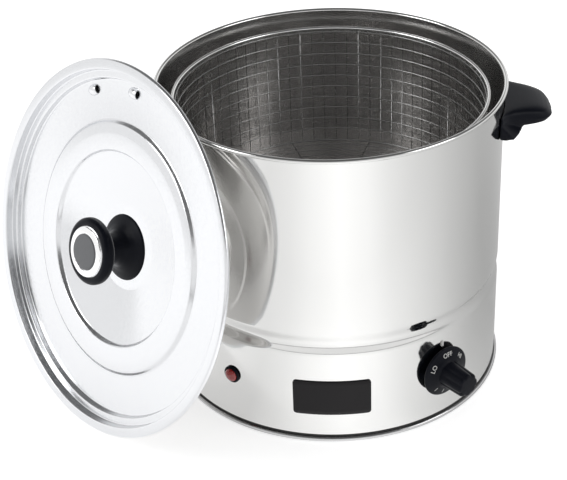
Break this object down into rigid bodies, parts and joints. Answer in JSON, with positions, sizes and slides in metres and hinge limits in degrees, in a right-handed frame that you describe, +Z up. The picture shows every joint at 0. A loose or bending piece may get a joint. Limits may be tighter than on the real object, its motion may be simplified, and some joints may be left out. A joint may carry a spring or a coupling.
{
  "type": "food steamer",
  "caption": "Round countertop electric food steamer: polished steel tank on a control base with a dial and pilot lamp, side handles, lift-out wire basket and a knobbed lid leaning on the rim.",
  "frame": {"origin": "on the tank's vertical axis, at the surface that the four feet stand on, so z = 0 is the worktop", "axes": "+Z up along the tank's axis, -Y out of the front with the dial and the name plate, +X towards the right-hand handle"},
  "size_m": [0.5351, 0.3941, 0.3363],
  "materials": {
    "polished_steel": "mirror-polished stainless steel",
    "satin_steel": "satin stainless steel",
    "chrome_trim": "bright chrome plate",
    "basket_wire": "bright electropolished wire",
    "zinc_steel": "zinc-plated steel",
    "black_plastic": "satin black phenolic moulding",
    "black_label": "semi-gloss black printed foil, left bare",
    "dark_grey_plastic": "matte dark grey",
    "black_rubber": "matte black rubber",
    "ivory_plastic": "matte ivory thermoset",
    "white_paint": "matte pale mark",
    "red_lens": "clear red lens, unlit",
    "red_button": "gloss red button",
    "cast_aluminium": "as-cast aluminium",
    "brass": "turned brass",
    "red_wire": "matte insulated wire"
  },
  "bodies": {
    "casing": {"tank_wall": "polished_steel", "tank_floor": "satin_steel", "base_pan": "chrome_trim", "base_gasket": "black_rubber", "foot_1": "black_rubber", "foot_2": "black_rubber", "foot_3": "black_rubber", "foot_4": "black_rubber", "base_tab_1": "satin_steel", "base_tab_2": "satin_steel", "base_tab_3": "satin_steel", "base_screw_1": "zinc_steel", "base_screw_2": "zinc_steel", "base_screw_3": "zinc_steel", "handle_right": "black_plastic", "handle_left": "black_plastic", "handle_bracket_right": "satin_steel", "handle_bracket_left": "satin_steel", "handle_screw_right": "zinc_steel", "handle_screw_left": "zinc_steel", "energy_regulator": "ivory_plastic", "regulator_screw_1": "zinc_steel", "regulator_screw_2": "zinc_steel", "dial_index": "white_paint", "pilot_bezel": "black_plastic", "pilot_lens": "red_lens", "pilot_body": "ivory_plastic", "name_plate": "black_label", "heat_spreader": "cast_aluminium", "heating_element": "satin_steel", "element_clamp": "zinc_steel", "element_stud": "zinc_steel", "element_nut": "zinc_steel", "boil_dry_cutout": "ivory_plastic", "cutout_nut": "zinc_steel", "cable_gland": "black_plastic", "gland_nut": "black_plastic", "terminal_block": "ivory_plastic", "regulator_wire": "red_wire", "pilot_wire": "red_wire", "cutout_wire": "red_wire", "element_wire": "red_wire", "return_wire": "dark_grey_plastic"},
    "dial": {"control_dial": "black_plastic", "regulator_shaft": "brass"},
    "reset_button": {"reset_button": "red_button"},
    "basket": {"basket_rim": "basket_wire", "basket_wall": "basket_wire", "basket_floor": "basket_wire", "basket_leg_1": "basket_wire", "basket_leg_2": "basket_wire", "basket_leg_3": "basket_wire"},
    "lid": {"lid_pan": "polished_steel", "lid_knob": "black_plastic", "knob_ring": "chrome_trim", "knob_cap": "dark_grey_plastic", "knob_bolt": "zinc_steel", "knob_washer": "zinc_steel"}
  },
  "joints": [
    {"name": "dial_turn", "type": "hinge", "parent": "casing", "child": "dial", "pos_m": [0.09851, -0.12608, 0.058], "axis": [-0.6157, 0.788, 0], "range_deg": [0, 315]},
    {"name": "reset_press", "type": "slide", "parent": "casing", "child": "reset_button", "axis": [-0.5, -0.866, 0], "range_m": [0, 0.0015], "stiffness_N_per_m": 300, "springref_m": -0.001},
    {"name": "basket_lift", "type": "slide", "parent": "casing", "child": "basket", "axis": [0, 0, 1], "range_m": [0, 0.25]},
    {"name": "lid_lift", "type": "slide", "parent": "casing", "child": "lid", "axis": [0, 0, 1], "range_m": [0, 0.35]}
  ]
}
